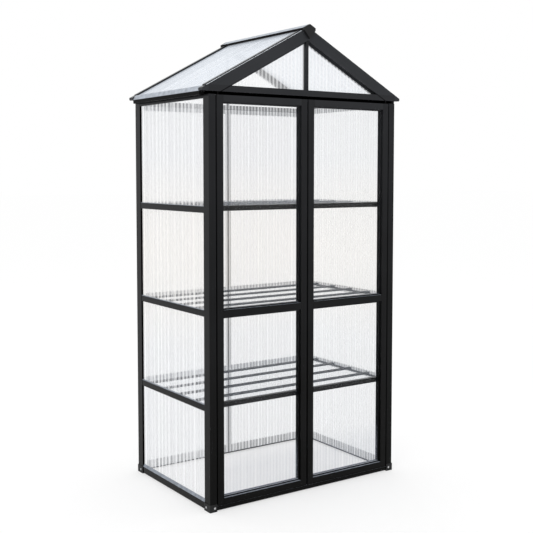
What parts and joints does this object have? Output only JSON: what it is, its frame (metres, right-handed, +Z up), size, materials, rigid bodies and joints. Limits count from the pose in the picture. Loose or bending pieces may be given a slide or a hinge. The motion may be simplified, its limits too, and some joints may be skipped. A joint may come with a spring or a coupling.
{
  "type": "mini greenhouse",
  "caption": "Tall narrow greenhouse cabinet with a black bar frame, clear ribbed panes, gable roof, inside shelves and a pair of outward-opening front doors.",
  "frame": {"origin": "on the ground under the middle of the greenhouse", "axes": "+Z up, the doors face -Y, left and right as seen facing the doors along X"},
  "size_m": [0.816, 0.53, 1.576],
  "materials": {
    "frame_bars": "satin black coat",
    "door_bars": "satin black coat",
    "shelf_bars": "satin black coat",
    "corner_plastic": "matt moulded",
    "screw_steel": "bright",
    "clear_sheet": "clear, ribbed"
  },
  "bodies": {
    "house": {"front_left_post": "frame_bars", "front_right_post": "frame_bars", "rear_left_post": "frame_bars", "rear_right_post": "frame_bars", "left_base_rail": "frame_bars", "right_base_rail": "frame_bars", "rear_base_rail": "frame_bars", "front_sill": "frame_bars", "left_top_rail": "frame_bars", "right_top_rail": "frame_bars", "front_tie_beam": "frame_bars", "rear_tie_beam": "frame_bars", "left_rail_lower": "frame_bars", "left_rail_middle": "frame_bars", "left_rail_upper": "frame_bars", "right_rail_lower": "frame_bars", "right_rail_middle": "frame_bars", "right_rail_upper": "frame_bars", "rear_rails": "frame_bars", "rear_mullion": "frame_bars", "front_left_rafter": "frame_bars", "front_right_rafter": "frame_bars", "rear_left_rafter": "frame_bars", "rear_right_rafter": "frame_bars", "gable_mullions": "frame_bars", "ridge_beam": "frame_bars", "ridge_cap": "frame_bars", "left_eave": "frame_bars", "right_eave": "frame_bars", "shelf_front_rail_lower": "shelf_bars", "shelf_front_rail_middle": "shelf_bars", "shelf_front_rail_upper": "shelf_bars", "shelf_side_bars": "shelf_bars", "shelf_slats_lower": "shelf_bars", "shelf_slats_middle": "shelf_bars", "shelf_slats_upper": "shelf_bars", "corner_feet": "corner_plastic", "ridge_end_plates": "corner_plastic", "foot_screws": "screw_steel", "left_wall_pane": "clear_sheet", "right_wall_pane": "clear_sheet", "rear_wall_panes": "clear_sheet", "gable_panes": "clear_sheet", "left_roof_sheet": "clear_sheet", "right_roof_sheet": "clear_sheet", "shelf_sheets": "clear_sheet"},
    "left_door": {"left_door_hinge_stile": "door_bars", "left_door_meeting_stile": "door_bars", "left_door_top_rail": "door_bars", "left_door_middle_rail": "door_bars", "left_door_bottom_rail": "door_bars", "left_door_panes": "clear_sheet", "left_door_pivot_pins": "screw_steel"},
    "right_door": {"right_door_hinge_stile": "door_bars", "right_door_meeting_stile": "door_bars", "right_door_top_rail": "door_bars", "right_door_middle_rail": "door_bars", "right_door_bottom_rail": "door_bars", "right_door_panes": "clear_sheet", "right_door_pivot_pins": "screw_steel"}
  },
  "joints": [
    {"name": "left_door_hinge", "type": "hinge", "parent": "house", "child": "left_door", "pos_m": [-0.348, -0.247, 0.673], "axis": [0, 0, -1], "range_deg": [0, 105]},
    {"name": "right_door_hinge", "type": "hinge", "parent": "house", "child": "right_door", "pos_m": [0.348, -0.247, 0.673], "axis": [0, 0, 1], "range_deg": [0, 105]}
  ]
}
